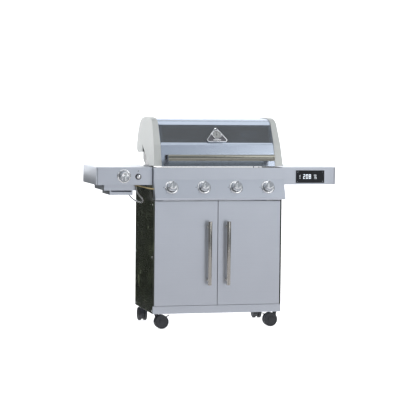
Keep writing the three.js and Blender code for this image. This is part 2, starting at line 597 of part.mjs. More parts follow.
// ---------------------------------------------------------------- side shelves
const BOWL = {
  x0: BURNER_X - BOWL_WIDTH / 2, x1: BURNER_X + BOWL_WIDTH / 2,
  y0: BURNER_Y - BOWL_DEPTH / 2, y1: BURNER_Y + BOWL_DEPTH / 2,
};
const SHELF_BOTTOM = COUNTER_Z - SHELF_HEIGHT;

function shelfBody() {
  const [x0, x1] = [SHELF_INNER_X, OVERALL_WIDTH / 2];
  const r = SHELF_CORNER;
  const outline = (inset) => [[x0 + inset, SHELF_FRONT + inset],
    ...arc(x1 - r, SHELF_FRONT + r, r - inset, -90, 0), ...arc(x1 - r, SHELF_REAR - r, r - inset, 0, 90),
    [x0 + inset, SHELF_REAR - inset]];
  return prismZ(outline(0), SHELF_BOTTOM, COUNTER_Z).subtract(
    prismZ(outline(SHELF_SHEET), SHELF_BOTTOM - 1, COUNTER_Z - SHELF_SHEET));
}

function makeShelves() {
  const brackets = [-120, 150].map((y) =>
    box(CART_HALF_WIDTH + GAP, SHELF_INNER_X + 1, y, y + 30, SHELF_BOTTOM, COUNTER_Z - 12));
  const shelf = join([shelfBody(), ...brackets]);
  const [dx, dz, dw, dh] = [537, 846, 167, 71];
  const displayHole = box(dx - dw / 2 + 8, dx + dw / 2 - 8, SHELF_FRONT - 5, SHELF_FRONT + 10, dz - dh / 2 + 8,
    dz + dh / 2 - 8);
  place('shelf_right', shelf.subtract(displayHole), BRUSHED);

  const stemHole = rod('y', 7, SHELF_FRONT - 5, SHELF_FRONT + 10, SIDE_KNOB_X, SIDE_KNOB_Z);
  const buttonHole = rod('y', 8 + SLIP, SHELF_FRONT - 5, SHELF_FRONT + 10, IGNITER_X, SIDE_KNOB_Z - 3);
  const burnerHole = box(BOWL.x0 - GAP, BOWL.x1 + GAP, BOWL.y0 - GAP, BOWL.y1 + GAP, COUNTER_Z - 20,
    COUNTER_Z + 1);
  place('shelf_left', cut(mirrored(shelf), [stemHole, buttonHole, burnerHole]), BRUSHED);

  const glass = box(dx - dw / 2, dx + dw / 2, SHELF_FRONT - 5, SHELF_FRONT - GAP, dz - dh / 2, dz + dh / 2);
  const module = box(dx - dw / 2 + 9, dx + dw / 2 - 9, SHELF_FRONT - 1, SHELF_FRONT + 26, dz - dh / 2 + 9,
    dz + dh / 2 - 9);
  place('display_panel', glass.add(module), BLACK_GLASS);
}

function makeSideBurner() {
  const { x0, x1, y0, y1 } = BOWL;
  const wall = 3;
  const rim = COUNTER_Z - LID_THICKNESS - 2;
  const pan = cut(box(x0, x1, y0, y1, BOWL_BOTTOM, rim), [
    box(x0 + wall, x1 - wall, y0 + wall, y1 - wall, BOWL_BOTTOM + wall, rim + 1)]);
  const tubeHole = rod('y', 10, y0 - 1, y0 + wall + 1, SIDE_KNOB_X, SIDE_KNOB_Z);
  const drain = rod('z', 12, BOWL_BOTTOM - 1, BOWL_BOTTOM + wall + 1, BURNER_X, BURNER_Y - 60);
  const seat = COUNTER_Z - SHELF_SHEET - GAP;
  const tabs = [[x0 - 8, x0 + 1], [x1 - 1, x1 + 8]].map(([from, to]) =>
    box(from, to, y0 + 40, y1 - 40, seat - 3, seat));
  place('side_burner_bowl', cut(join([pan, ...tabs]), [tubeHole, drain]), BRUSHED);

  const head = turned([[0, 845], [30, 845], [40, 852], [40, 866], [34, 872], [0, 874]]);
  const placedHead = solid(geometryOf(head).translate(BURNER_X, BURNER_Y, 0));
  const mixing = rod('y', 8, SHELF_FRONT + 34, BURNER_Y, SIDE_KNOB_X, SIDE_KNOB_Z, 12);
  const valve = rod('y', 11, SHELF_FRONT + 8, SHELF_FRONT + 36, SIDE_KNOB_X, SIDE_KNOB_Z, 12)
    .subtract(rod('y', STEM_RADIUS + SLIP, SHELF_FRONT + 7, SHELF_FRONT + 26, SIDE_KNOB_X, SIDE_KNOB_Z));
  const end = HOSE[HOSE.length - 1];
  const supply = pipe([[SIDE_KNOB_X, SHELF_FRONT + 30, SIDE_KNOB_Z - 9], [-490, SHELF_FRONT + 30, 834],
    [end[0], -120, 834], [end[0], 0, 834], [end[0], end[1] - 40, 832], [end[0], end[1], 815],
    [end[0], end[1], end[2] + 8]], 4, 8, 24);
  const fitting = rod('z', 7, end[2] + 1, end[2] + 18, end[0], end[1], 6);
  place('side_burner', join([placedHead, mixing, valve, supply, fitting]), BRASS);

  const low = 876;
  const bars = [-1, 1].flatMap((s) => [
    box(x0 + 5, x1 - 5, BURNER_Y + s * 40 - 4, BURNER_Y + s * 40 + 4, low, low + 10),
    box(BURNER_X + s * 45 - 4, BURNER_X + s * 45 + 4, BURNER_Y - 95, BURNER_Y + 95, low, low + 10)]);
  const legs = [-1, 1].flatMap((s) => [-1, 1].map((t) =>
    box(BURNER_X + s * 80 - 4, BURNER_X + s * 80 + 4, BURNER_Y + t * 40 - 4, BURNER_Y + t * 40 + 4,
      BOWL_BOTTOM + wall + GAP, low + 1)));
  place('side_burner_trivet', join([...bars, ...legs]), CAST_IRON);

  place('side_burner_lid', box(x0 + 1, x1 - 1, y0 + 1, y1 - 1, COUNTER_Z - LID_THICKNESS, COUNTER_Z), BRUSHED);

  const tray = cut(box(-598, -468, -96, 120, 742, 759), [box(-595, -471, -93, 117, 745, 760)]);
  const rails = [[-598, -590], [-476, -468]].map(([from, to]) => box(from, to, -96, 120, 756, BOWL_BOTTOM - 2));
  place('side_burner_drip_tray', join([tray, ...rails]), BRUSHED);
}

// The side burner's hose hangs between the fitting on the gas pipe and the one under the shelf.
const FITTING_Z = 790;
const HOSE = [[-456, -134, 789], [-456, -135, 776], [-452, -140, 758], [-442, -150, 742],
  [-431, -159, 729], [-424, -157, 717], [-421, -143, 708], [-420, -120, 703], [-420, -90, 700.5],
  [-420, -55, 699.5], [-421, -20, 699.5], [-422, 15, 700.5], [-423, 50, 703], [-425, 85, 707],
  [-427, 115, 712], [-430, 142, 719], [-433, 165, 728], [-436, 181, 739], [-438, 190, 750], [-438, 192, 761]];
const HOSE_DIAMETER = 8;
function makeHose() {
  place('gas_hose', pipe(HOSE, HOSE_DIAMETER / 2, 8, 32), POLISHED);
}

makeBase();
makeSidePanels();
makeDoors();
makeCasters();
makeFirebox();
makeBurners();
makeGrates();
makeGreaseTray();
makeControlPanel();
makeManifold();
makeKnobs();
makeHood();
makeHoodCaps();
makeHoodBrackets();
makeHoodHandle();
makeBadge();
makeShelves();
makeSideBurner();
makeHose();

export default grill;
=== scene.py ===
# %% [markdown]
# # A gas barbecue grill
# The grill is a box of folded stainless sheet on castors, with a cast-ended hood that swings back.
# Its frame, joints and sizes come ready made from the design model. This script gives every piece
# its finish, swaps the plain turned and cast pieces for finely shaped ones, and adds the small trim.

# %% Load the frame
import math

import bmesh
import bpy
from mathutils import Matrix, Vector


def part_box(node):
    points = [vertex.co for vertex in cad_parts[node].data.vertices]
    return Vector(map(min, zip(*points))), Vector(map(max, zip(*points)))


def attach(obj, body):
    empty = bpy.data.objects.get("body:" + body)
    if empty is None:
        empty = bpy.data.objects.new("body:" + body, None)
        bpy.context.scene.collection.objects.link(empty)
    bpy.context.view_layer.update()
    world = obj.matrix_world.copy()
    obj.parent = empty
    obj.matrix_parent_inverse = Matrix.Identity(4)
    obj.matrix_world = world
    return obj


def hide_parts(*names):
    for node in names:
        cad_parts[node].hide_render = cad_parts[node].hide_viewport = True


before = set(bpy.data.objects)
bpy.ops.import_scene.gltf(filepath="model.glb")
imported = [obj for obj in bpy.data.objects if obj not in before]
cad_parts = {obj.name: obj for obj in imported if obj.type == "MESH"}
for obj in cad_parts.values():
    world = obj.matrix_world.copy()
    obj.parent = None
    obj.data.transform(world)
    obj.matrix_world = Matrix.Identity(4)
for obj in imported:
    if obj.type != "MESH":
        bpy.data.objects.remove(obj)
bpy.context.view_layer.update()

# %% [markdown]
# ## The camera
# The camera stands well back, to the grill's left and a little above its shelves, and looks slightly
# down, with a long lens. Its three axes are worked out from turn, tilt and roll, so no target is needed.

# %% The camera
SENSOR = 36.0
LENS = 147.115  # mm
EYE = Vector((-2.4316, -9.3277, 1.2777))
TURN, TILT, ROLL = 0.254, -0.064, 0.010


def camera_axes(turn, tilt, roll):
    ahead = Vector((math.sin(turn) * math.cos(tilt), math.cos(turn) * math.cos(tilt), math.sin(tilt)))
    level = Vector((math.cos(turn), -math.sin(turn), 0.0))
    up = level.cross(ahead)
    right = math.cos(roll) * level + math.sin(roll) * up
    top = -math.sin(roll) * level + math.cos(roll) * up
    return Matrix((right, top, -ahead)).transposed()


camera_data = bpy.data.cameras.new("camera")
camera_data.sensor_width = SENSOR
camera_data.lens = LENS
camera_data.clip_end = 100.0
camera = bpy.data.objects.new("camera", camera_data)
camera.matrix_world = Matrix.Translation(EYE) @ camera_axes(TURN, TILT, ROLL).to_4x4()
bpy.context.scene.collection.objects.link(camera)
bpy.context.scene.camera = camera
print("lens:", round(camera_data.lens, 1))

# %% [markdown]
# ## The side burner's hose
# A braided metal hose, 8 mm thick, hangs in a loop between the gas pipe's end and a fitting under the
# rear of the left shelf. A curve of one open spline
# gives the route its length and its round section, and the hose is the tube made from that curve.

# %% The hose's route
MM = 0.001
HOSE_WIDTH = 8 * MM
HOSE_ROUTE = [
    (-456, -134, 789), (-456, -135, 776), (-452, -140, 758), (-442, -150, 742), (-431, -159, 729),
    (-424, -157, 717), (-421, -143, 708), (-420, -120, 703), (-420, -90, 700.5), (-420, -55, 699.5),
    (-421, -20, 699.5), (-422, 15, 700.5), (-423, 50, 703), (-425, 85, 707), (-427, 115, 712),
    (-430, 142, 719), (-433, 165, 728), (-436, 181, 739), (-438, 190, 750), (-438, 192, 761),
]


def smooth_route(points, between=4):
    """More points along the same smooth curve, so that a poly spline has no visible corners."""
    places = [Vector(p) * MM for p in points]
    places = [2 * places[0] - places[1]] + places + [2 * places[-1] - places[-2]]
    route = []
    for a, b, c, d in zip(places, places[1:], places[2:], places[3:]):
        for step in range(between):
            t = step / between
            route.append(0.5 * (2 * b + (c - a) * t + (2 * a - 5 * b + 4 * c - d) * t * t
                                + (3 * b - a - 3 * c + d) * t ** 3))
    return route + [places[-2]]


route = smooth_route(HOSE_ROUTE)
hose_curve = bpy.data.curves.new("gas_hose_braid", "CURVE")
hose_curve.dimensions = "3D"
hose_curve.bevel_depth = HOSE_WIDTH / 2
hose_curve.bevel_resolution = 4
hose_curve.use_fill_caps = True
spline = hose_curve.splines.new("POLY")
spline.points.add(len(route) - 1)
for point, place in zip(spline.points, route):
    point.co = (*place, 1.0)
hose_line = bpy.data.objects.new("hose_line", hose_curve)
bpy.context.scene.collection.objects.link(hose_line)
hose_shape = bpy.data.meshes.new_from_object(hose_line.evaluated_get(bpy.context.evaluated_depsgraph_get()))
bpy.data.objects.remove(hose_line)
hose = bpy.data.objects.new("gas_hose_braid", hose_shape)
bpy.context.scene.collection.objects.link(hose)
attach(hose, "cart")
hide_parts("gas_hose")

# %% [markdown]
# ## Shader helpers
# Two effects turn up in most of the metals: fine brushing, which is noise stretched along one axis of
# the piece, and soft staining, which is a slow cloud of noise. Each is a node group with its own inputs.

# %% Node groups
def new_group(name, inputs, outputs):
    group = bpy.data.node_groups.new(name, "ShaderNodeTree")
    for label, kind, value in inputs:
        socket = group.interface.new_socket(name=label, in_out="INPUT", socket_type=kind)
        if value is not None:
            socket.default_value = value
    for label, kind in outputs:
        group.interface.new_socket(name=label, in_out="OUTPUT", socket_type=kind)
    return group, group.nodes.new("NodeGroupInput"), group.nodes.new("NodeGroupOutput")


def add(tree, kind, **settings):
    node = tree.nodes.new(kind)
    for key, value in settings.items():
        setattr(node, key, value)
    return node


def wire(tree, pairs):
    for source, target in pairs:
        tree.links.new(source, target)


def build_brushing():
    """Stretched noise: a mask from 0 to 1 and a normal, for metal brushed along one axis."""
    group, start, end = new_group("brushing", [
        ("Stretch", "NodeSocketVector", (6.0, 900.0, 900.0)), ("Depth", "NodeSocketFloat", 0.1)],
        [("Mask", "NodeSocketFloat"), ("Normal", "NodeSocketVector")])
    coords = add(group, "ShaderNodeTexCoord")
    scale = add(group, "ShaderNodeVectorMath", operation="MULTIPLY")
    noise = add(group, "ShaderNodeTexNoise")
    noise.inputs["Scale"].default_value = 1.0
    noise.inputs["Detail"].default_value = 3.0
    bump = add(group, "ShaderNodeBump")
    bump.inputs["Distance"].default_value = 0.0004
    wire(group, [
        (coords.outputs["Object"], scale.inputs[0]), (start.outputs["Stretch"], scale.inputs[1]),
        (scale.outputs[0], noise.inputs["Vector"]), (noise.outputs["Fac"], bump.inputs["Height"]),
        (start.outputs["Depth"], bump.inputs["Strength"]), (noise.outputs["Fac"], end.inputs["Mask"]),
        (bump.outputs["Normal"], end.inputs["Normal"])])
    return group


def build_staining():
    """A slow cloud that mixes two colours and two roughness values over a surface."""
    group, start, end = new_group("staining", [
        ("Clean", "NodeSocketColor", (0.7, 0.7, 0.7, 1)), ("Stained", "NodeSocketColor", (0.6, 0.6, 0.6, 1)),
        ("Scale", "NodeSocketFloat", 6.0), ("Low", "NodeSocketFloat", 0.25), ("High", "NodeSocketFloat", 0.4),
        ("Grain", "NodeSocketFloat", 0.5)],
        [("Color", "NodeSocketColor"), ("Roughness", "NodeSocketFloat"), ("Mask", "NodeSocketFloat")])
    coords = add(group, "ShaderNodeTexCoord")
    noise = add(group, "ShaderNodeTexNoise")
    noise.inputs["Detail"].default_value = 5.0
    both = add(group, "ShaderNodeMath", operation="ADD")
    half = add(group, "ShaderNodeMath", operation="MULTIPLY")
    half.inputs[1].default_value = 0.5
    mix = add(group, "ShaderNodeMix", data_type="RGBA")
    shine = add(group, "ShaderNodeMapRange")
    wire(group, [
        (coords.outputs["Object"], noise.inputs["Vector"]), (start.outputs["Scale"], noise.inputs["Scale"]),
        (noise.outputs["Fac"], both.inputs[0]), (start.outputs["Grain"], both.inputs[1]),
        (both.outputs[0], half.inputs[0]), (half.outputs[0], mix.inputs["Factor"]),
        (start.outputs["Clean"], mix.inputs[6]), (start.outputs["Stained"], mix.inputs[7]),
        (half.outputs[0], shine.inputs["Value"]), (start.outputs["Low"], shine.inputs["To Min"]),
        (start.outputs["High"], shine.inputs["To Max"]), (mix.outputs[2], end.inputs["Color"]),
        (shine.outputs["Result"], end.inputs["Roughness"]), (half.outputs[0], end.inputs["Mask"])])
    return group


BRUSHING = build_brushing()
STAINING = build_staining()


def metal(name, clean, stained, rough, stretch, depth=0.12, metallic=1.0, scale=6.0, **sockets):
    """A brushed or cast surface: staining gives colour and shine, brushing gives grain."""
    material = bpy.data.materials.new(name)
    material.use_nodes = True
    tree = material.node_tree
    shader = tree.nodes["Principled BSDF"]
    shader.inputs["Metallic"].default_value = metallic
    for socket, value in sockets.items():
        shader.inputs[socket.replace("_", " ")].default_value = value
    grain = add(tree, "ShaderNodeGroup", node_tree=BRUSHING)
    grain.inputs["Stretch"].default_value = stretch
    grain.inputs["Depth"].default_value = depth
    stain = add(tree, "ShaderNodeGroup", node_tree=STAINING)
    stain.inputs["Clean"].default_value = (*clean, 1)
    stain.inputs["Stained"].default_value = (*stained, 1)
    stain.inputs["Scale"].default_value = scale
    stain.inputs["Low"].default_value, stain.inputs["High"].default_value = rough
    wire(tree, [
        (grain.outputs["Mask"], stain.inputs["Grain"]), (stain.outputs["Color"], shader.inputs["Base Color"]),
        (stain.outputs["Roughness"], shader.inputs["Roughness"]),
        (grain.outputs["Normal"], shader.inputs["Normal"])])
    material.diffuse_color = (*clean, 1)
    return material


# %% [markdown]
# ## The finishes
# Stainless sheet is brushed along the grill's width. Handles and bezels are polished, so they are nearly
# clean mirrors. The cabinet's sides are dark glossy enamel, with green-black blotches painted into its colour
# as a reflection of foliage.

# %% Metals
ALONG_WIDTH = (5.0, 700.0, 700.0)
ALONG_HEIGHT = (700.0, 700.0, 5.0)
ALL_WAYS = (320.0, 320.0, 320.0)

STEEL = metal("brushed_stainless", (0.64, 0.67, 0.73), (0.55, 0.58, 0.64), (0.24, 0.38), ALONG_WIDTH)
STEEL_HOOD = metal("hood_stainless", (0.58, 0.65, 0.75), (0.49, 0.54, 0.63), (0.16, 0.30), ALONG_WIDTH)
POLISHED = metal("polished_stainless", (0.86, 0.87, 0.88), (0.78, 0.79, 0.80), (0.08, 0.16),
                 ALONG_WIDTH, 0.05)
POLISHED_TALL = metal("polished_upright_tube", (0.50, 0.48, 0.45), (0.42, 0.40, 0.37), (0.14, 0.24),
                      ALONG_HEIGHT, 0.08)
CAST_PALE = metal("pale_cast_paint", (0.54, 0.55, 0.53), (0.47, 0.48, 0.46), (0.28, 0.42), ALL_WAYS, 0.06,
                  metallic=0.35)
HANDLE = metal("hood_handle_steel", (0.32, 0.315, 0.275), (0.26, 0.255, 0.22), (0.08, 0.16),
               ALONG_WIDTH, 0.05)
IRON = metal("matt_cast_iron", (0.035, 0.035, 0.036), (0.06, 0.058, 0.055), (0.55, 0.8), ALL_WAYS, 0.6,
             metallic=0.3, scale=30)
BRASS = metal("gas_brass", (0.62, 0.50, 0.27), (0.5, 0.4, 0.22), (0.25, 0.4), ALL_WAYS, 0.1)
PLASTIC = metal("black_moulded_plastic", (0.010, 0.011, 0.014), (0.022, 0.023, 0.030), (0.38, 0.55), ALL_WAYS,
                0.25, metallic=0.0, scale=40)
TYRE = metal("castor_tread", (0.010, 0.011, 0.014), (0.024, 0.025, 0.030), (0.45, 0.65), ALL_WAYS, 0.3,
             metallic=0.0, scale=60)
GUNMETAL = metal("badge_dark_metal", (0.10, 0.10, 0.11), (0.16, 0.16, 0.17), (0.2, 0.35), ALONG_WIDTH, 0.1)
INK = metal("printed_marks", (0.03, 0.03, 0.035), (0.05, 0.05, 0.055), (0.5, 0.6), ALL_WAYS, 0.05,
            metallic=0.0)
DIAL_WHITE = metal("dial_face", (0.80, 0.80, 0.78), (0.74, 0.74, 0.72), (0.3, 0.4), ALL_WAYS, 0.02,
                   metallic=0.0)

# %% [markdown]
# Enamel, glass and the braided hose need their own small trees: the enamel mixes dark olive blotches, a
# painted reflection of foliage, into black, the glass lets light through, and the braid is two sets of
# slanting bands crossed on the hose.

# %% Enamel, glass and braid
def enamel():
    """Dark glossy enamel with dark olive blotches painted in as a reflection of foliage."""
    material = bpy.data.materials.new("dark_enamel_painted_foliage_reflection")
    material.use_nodes = True
    tree = material.node_tree
    shader = tree.nodes["Principled BSDF"]
    shader.inputs["Coat Weight"].default_value = 0.25
    shader.inputs["Coat Roughness"].default_value = 0.08
    coords = add(tree, "ShaderNodeTexCoord")
    painted_reflection_noise = add(tree, "ShaderNodeTexNoise")
    painted_reflection_noise.inputs["Scale"].default_value = 15.0
    painted_reflection_noise.inputs["Detail"].default_value = 8.0
    painted_reflection_noise.inputs["Roughness"].default_value = 0.68
    painted_reflection_noise.inputs["Distortion"].default_value = 1.2
    # The ramp's olive colours are a painted reflection of foliage over black enamel, not the enamel's own
    # colour.
    ramp = add(tree, "ShaderNodeValToRGB")
    ramp.color_ramp.elements[0].position = 0.42
    ramp.color_ramp.elements[0].color = (0.008, 0.010, 0.006, 1)
    ramp.color_ramp.elements[1].position = 0.78
    ramp.color_ramp.elements[1].color = (0.11, 0.125, 0.06, 1)
    middle = ramp.color_ramp.elements.new(0.58)
    middle.color = (0.020, 0.026, 0.012, 1)
    shine = add(tree, "ShaderNodeMapRange")
    shine.inputs["To Min"].default_value = 0.12
    shine.inputs["To Max"].default_value = 0.35
    wire(tree, [
        (coords.outputs["Object"], painted_reflection_noise.inputs["Vector"]), (painted_reflection_noise.outputs["Fac"], ramp.inputs["Fac"]),
        (ramp.outputs["Color"], shader.inputs["Base Color"]), (painted_reflection_noise.outputs["Fac"], shine.inputs["Value"]),
        (shine.outputs["Result"], shader.inputs["Roughness"])])
    return material


def glass(name, color, rough, through):
    material = bpy.data.materials.new(name)
    material.use_nodes = True
    tree = material.node_tree
    shader = tree.nodes["Principled BSDF"]
    shader.inputs["Transmission Weight"].default_value = through
    shader.inputs["IOR"].default_value = 1.5
    stain = add(tree, "ShaderNodeGroup", node_tree=STAINING)
    stain.inputs["Clean"].default_value = (*color, 1)
    stain.inputs["Stained"].default_value = (*[c * 0.85 for c in color], 1)
    stain.inputs["Low"].default_value, stain.inputs["High"].default_value = rough
    wire(tree, [(stain.outputs["Color"], shader.inputs["Base Color"]),
                (stain.outputs["Roughness"], shader.inputs["Roughness"])])
    return material


def braid():
    """Woven steel wire: crossed slanting waves round and along the hose."""
    material = metal("hose_braid", (0.72, 0.73, 0.74), (0.5, 0.5, 0.5), (0.2, 0.35), ALL_WAYS, 0.1)
    tree = material.node_tree
    shader = tree.nodes["Principled BSDF"]
    coords = add(tree, "ShaderNodeTexCoord")
    bump = add(tree, "ShaderNodeBump")
    bump.inputs["Distance"].default_value = 0.0006
    total = add(tree, "ShaderNodeMath", operation="ADD")
    for index, slant in enumerate((1.0, -1.0)):
        place = add(tree, "ShaderNodeMapping")
        place.inputs["Rotation"].default_value = (slant * math.radians(45), 0, slant * math.radians(45))
        waves = add(tree, "ShaderNodeTexWave", wave_profile="SIN")
        waves.inputs["Scale"].default_value = 180.0
        wire(tree, [(coords.outputs["Object"], place.inputs["Vector"]),
                    (place.outputs["Vector"], waves.inputs["Vector"]),
                    (waves.outputs["Fac"], total.inputs[index])])
    wire(tree, [(total.outputs[0], bump.inputs["Height"]), (bump.outputs["Normal"], shader.inputs["Normal"])])
    return material


ENAMEL = enamel()
TINTED = glass("tinted_window_glass", (0.30, 0.33, 0.36), (0.02, 0.05), 0.85)
CLEAR = glass("dial_lens", (0.97, 0.98, 0.98), (0.01, 0.02), 1.0)
DISPLAY_BLACK = glass("display_black_glass", (0.008, 0.009, 0.011), (0.05, 0.1), 0.0)
BRAID = braid()
hose_shape.materials.append(BRAID)


def glowing(name, color, strength):
    material = metal(name, color, color, (0.4, 0.5), ALL_WAYS, 0.0, metallic=0.0)
    shader = material.node_tree.nodes["Principled BSDF"]
    shader.inputs["Emission Color"].default_value = (*color, 1)
    shader.inputs["Emission Strength"].default_value = strength
    return material


DIGITS = glowing("display_digits", (0.9, 0.95, 1.0), 0.6)

# %% [markdown]
# ## Mesh helpers
# A finished piece keeps its object at the origin, with its place in its mesh. `finish_piece` turns a
# bmesh into such an object, smooths it by angle, and says which body it rides on and what it replaces.

# %% Mesh helpers
SOFT_CREASE = 35.0  # degrees; a fold sharper than this shows as a line
SHARP_CREASE = 12.0  # for a sheet whose shallow folds have to show


def finish_piece(name, shape, material, body, replaces=(), bevel=0.0, segments=2,
                 smooth=SOFT_CREASE):
    """Make the object. `shape` is a bmesh in metres, in the frame's own place."""
    mesh = bpy.data.meshes.new(name)
    bmesh.ops.recalc_face_normals(shape, faces=shape.faces)
    shape.to_mesh(mesh)
    shape.free()
    mesh.materials.append(material)
    piece = bpy.data.objects.new(name, mesh)
    bpy.context.scene.collection.objects.link(piece)
    if bevel:
        edge = piece.modifiers.new("edge", "BEVEL")
        edge.width = bevel
        edge.segments = segments
        edge.limit_method = "ANGLE"
        edge.angle_limit = math.radians(30)
        edge.harden_normals = False
    mesh.shade_smooth()
    mesh.set_sharp_from_angle(angle=math.radians(smooth))
    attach(piece, body)
    if replaces:
        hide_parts(*replaces)
    return piece


def welded_copy(node):
    """A design node's mesh with its loose triangles merged and its flat faces made whole."""
    shape = bmesh.new()
    shape.from_mesh(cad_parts[node].data)
    bmesh.ops.remove_doubles(shape, verts=shape.verts, dist=2e-5)
    bmesh.ops.dissolve_limit(shape, angle_limit=math.radians(1.0), verts=shape.verts, edges=shape.edges,
                             delimit={"NORMAL"})
    return shape


def softened(node, material, body, bevel=0.0012, segments=2, smooth=SOFT_CREASE):
    """Give a folded or cut design node rounded edges, so that they catch the light."""
    return finish_piece(f"{node}_finished", welded_copy(node), material, body, (node,), bevel, segments,
                        smooth)


def turn_profile(shape, profile, place=Matrix.Identity(4), steps=48):
    """Spin a closed-on-axis profile of (radius, height) about Z, then put it in place."""
    verts = [shape.verts.new((radius, 0.0, height)) for radius, height in profile]
    edges = [shape.edges.new(pair) for pair in zip(verts, verts[1:])]
    made = bmesh.ops.spin(shape, geom=verts + edges, cent=(0, 0, 0), axis=(0, 0, 1), steps=steps,
                          angle=2 * math.pi, use_merge=True, use_duplicate=False)
    new = [v for v in shape.verts if v.is_valid and not v.tag]
    bmesh.ops.remove_doubles(shape, verts=new, dist=1e-6)
    new = [v for v in shape.verts if not v.tag]
    bmesh.ops.transform(shape, matrix=place, verts=new)
    for vert in new:
        vert.tag = True
    return made


def extruded_outline(shape, outline, depth, place=Matrix.Identity(4)):
    """A flat outline of (x, y) points, extruded along Z by depth, then put in place."""
    face = shape.faces.new([shape.verts.new((x, y, 0.0)) for x, y in outline])
    lifted = bmesh.ops.extrude_face_region(shape, geom=[face])
    top = [item for item in lifted["geom"] if isinstance(item, bmesh.types.BMVert)]
    bmesh.ops.translate(shape, vec=(0, 0, depth), verts=top)
    new = [v for v in shape.verts if not v.tag]
    bmesh.ops.transform(shape, matrix=place, verts=new)
    for vert in new:
        vert.tag = True


def block(shape, low, high):
    """A box from its low corner to its high corner."""
    size = Vector(high) - Vector(low)
    place = Matrix.Translation((Vector(high) + Vector(low)) / 2) @ Matrix.Diagonal((*size, 1.0))
    made = bmesh.ops.create_cube(shape, size=1.0, matrix=place)
    for vert in made["verts"]:
        vert.tag = True


def arc(cx, cy, radius, start, stop, steps=8):
    angles = [math.radians(start + (stop - start) * i / steps) for i in range(steps + 1)]
    return [(cx + radius * math.cos(a), cy + radius * math.sin(a)) for a in angles]


def look_along(place, ahead, up=(0, 0, 1)):
    """A matrix whose Z axis points ahead, with its Y axis as near to up as it can be."""
    z = Vector(ahead).normalized()
    x = Vector(up).cross(z).normalized()
    return Matrix.Translation(place) @ Matrix((x, z.cross(x), z)).transposed().to_4x4()

# %% [markdown]
# ## Sheet metal and castings
# Folded sheet never has a razor edge. Each sheet node is copied, welded and given a small bevel, so a
# thin bright line runs along its folds. The doors' bevel is well under half their sheet's thickness,
# because bevels that meet inside a thin sheet turn its inner face black.

# %% Sheet metal and castings
MIRRORS = ("left", "right")
SHEETS = [
    ("base_tray", STEEL, "brushed_steel", 0.7), ("firebox", ENAMEL, "dark_enamel", 1.0),
    ("control_panel", STEEL, "brushed_steel", 1.0), ("back_panel", ENAMEL, "dark_enamel", 0.8),
    ("shelf_left", STEEL, "brushed_steel", 1.5), ("shelf_right", STEEL, "brushed_steel", 1.5),
    ("gas_manifold", BRASS, "brass", 0.5), ("side_burner", BRASS, "brass", 0.6),
    ("side_burner_bowl", STEEL, "brushed_steel", 0.8), ("side_burner_trivet", IRON, "cast_iron", 0.9),
    ("warming_rack", POLISHED, "polished_steel", 1.9),
]
SHEETS += [(f"side_panel_{side}", ENAMEL, "dark_enamel", 1.2) for side in MIRRORS]
SHEETS += [(f"hood_bracket_{side}", ENAMEL, "dark_enamel", 0.8) for side in MIRRORS]
SHEETS += [(f"flame_tamer_{side}", STEEL, "brushed_steel", 0.4) for side in MIRRORS]
SHEETS += [(f"cooking_grate_{side}", IRON, "cast_iron", 1.6) for side in MIRRORS]
SHEETS += [(f"burner_{number}", STEEL, "brushed_steel", 0.6) for number in range(1, 5)]
for node, material, slot, bevel in SHEETS:
    softened(node, material, "cart", bevel * MM,
             smooth=SHARP_CREASE if node == "control_panel" else SOFT_CREASE)

softened("grease_tray", STEEL, "grease_tray", 0.8 * MM)
softened("side_burner_drip_tray", STEEL, "drip_tray", 0.8 * MM)
softened("side_burner_lid", STEEL, "side_lid", 1.5 * MM, 3)
for side in MIRRORS:
    softened(f"door_{side}", STEEL, f"door_{side}", 0.6 * MM, 3)
    softened(f"hood_cap_{side}", CAST_PALE, "hood", 1.2 * MM, 3)
softened("hood_shell", STEEL_HOOD, "hood", 0.4 * MM)
softened("hood_glass", TINTED, "hood", 1.0 * MM)
for number in range(1, 5):
    softened(f"valve_stem_{number}", BRASS, f"stem_{number}", 0.4 * MM)
softened("side_valve_stem", BRASS, "side_stem", 0.4 * MM)
for corner in ("front_left", "front_right", "rear_left", "rear_right"):
    softened(f"caster_housing_{corner}", PLASTIC, f"castor_{corner}", 1.0 * MM)
for corner in ("front_left", "front_right"):
    softened(f"brake_pedal_{corner}", PLASTIC, f"brake_{corner}", 1.5 * MM, 3)
print("sheet and cast pieces:", len(SHEETS) + 19)

# %% [markdown]
# ## Handles
# The door handles are plain upright tubes with domed ends on two posts. The hood handle is an oval tube,
# flattened front to back, on two cast arms. A turned profile makes the tubes; the oval is an outline.

# %% Door handles
def door_handle(side):
    low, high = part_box(f"door_handle_{side}")
    radius = (high.x - low.x) / 2
    centre = Vector(((low.x + high.x) / 2, low.y + radius, 0))
    shape = bmesh.new()
    end = 1.5 * MM
    profile = [(0, low.z)] + [(radius - end + end * math.cos(a), low.z + end + end * math.sin(a))
                              for a in (-1.57, -0.8, 0.0)]
    profile += [(radius - end + end * math.cos(a), high.z - end + end * math.sin(a))
                for a in (0.0, 0.8, 1.57)]
    turn_profile(shape, profile + [(0, high.z)], Matrix.Translation((centre.x, centre.y, 0)))
    for height in (low.z + 30 * MM, high.z - 30 * MM):
        post = [(0, 0), (6.5 * MM, 0), (6.5 * MM, 26 * MM), (9.5 * MM, 27.5 * MM),
                (9.5 * MM, 37.6 * MM), (0, 37.6 * MM)]
        turn_profile(shape, post, look_along((centre.x, centre.y, height), (0, 1, 0)), 32)
    finish_piece(f"door_handle_{side}_tube", shape, POLISHED_TALL, f"door_{side}",
                 (f"door_handle_{side}",))


for side in MIRRORS:
    door_handle(side)

